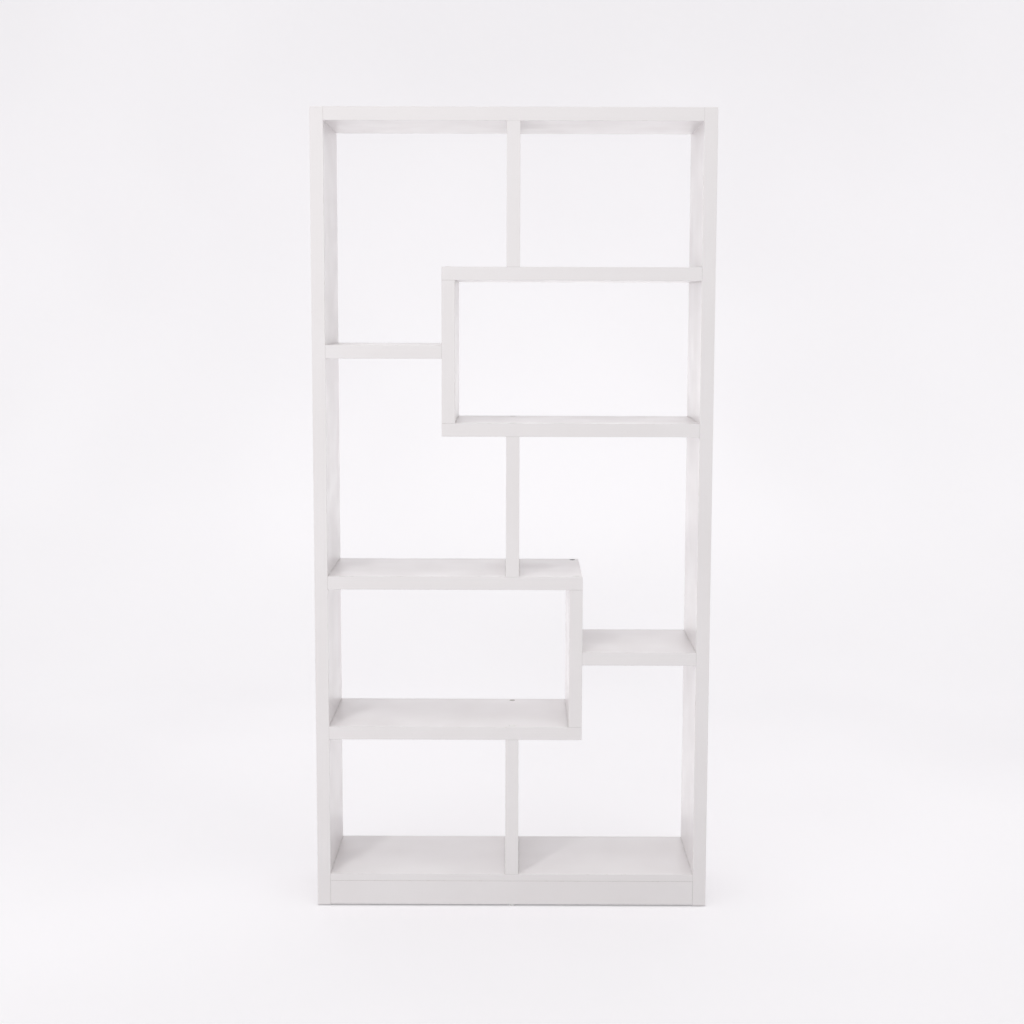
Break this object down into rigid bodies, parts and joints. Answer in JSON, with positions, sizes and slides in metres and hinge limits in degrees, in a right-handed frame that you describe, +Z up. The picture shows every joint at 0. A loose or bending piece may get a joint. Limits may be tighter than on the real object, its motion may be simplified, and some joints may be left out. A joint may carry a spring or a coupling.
{
  "type": "staircase bookshelf",
  "caption": "Tall open white bookshelf with offset box bays and short half-height shelves that climb like a staircase between two side panels, on a plinth base.",
  "frame": {"origin": "centre of the footprint, on the floor", "axes": "+Z up, +X to the right seen from the front, -Y out of the front"},
  "size_m": [0.9, 0.29, 1.8212],
  "materials": {
    "white_laminate": "satin white laminate on board",
    "beech": "raw beech",
    "dark_steel": "black-oxide steel",
    "cap_plastic": "moulded white plastic",
    "glide_plastic": "moulded pale plastic"
  },
  "bodies": {
    "root": {"left_side_panel": "white_laminate", "right_side_panel": "white_laminate", "top_panel": "white_laminate", "bottom_shelf": "white_laminate", "lower_box_bottom_shelf": "white_laminate", "lower_box_top_shelf": "white_laminate", "upper_box_bottom_shelf": "white_laminate", "upper_box_top_shelf": "white_laminate", "lower_right_shelf": "white_laminate", "upper_left_shelf": "white_laminate", "bottom_center_divider": "white_laminate", "lower_box_divider": "white_laminate", "mid_center_divider": "white_laminate", "upper_box_divider": "white_laminate", "top_center_divider": "white_laminate", "front_plinth": "white_laminate", "rear_plinth": "white_laminate", "shelf_tenons": "beech", "divider_tenons": "beech", "plinth_tenons": "beech", "divider_screws": "dark_steel", "screw_cover_caps": "cap_plastic", "side_glides": "glide_plastic", "plinth_glides": "glide_plastic"}
  },
  "joints": []
}
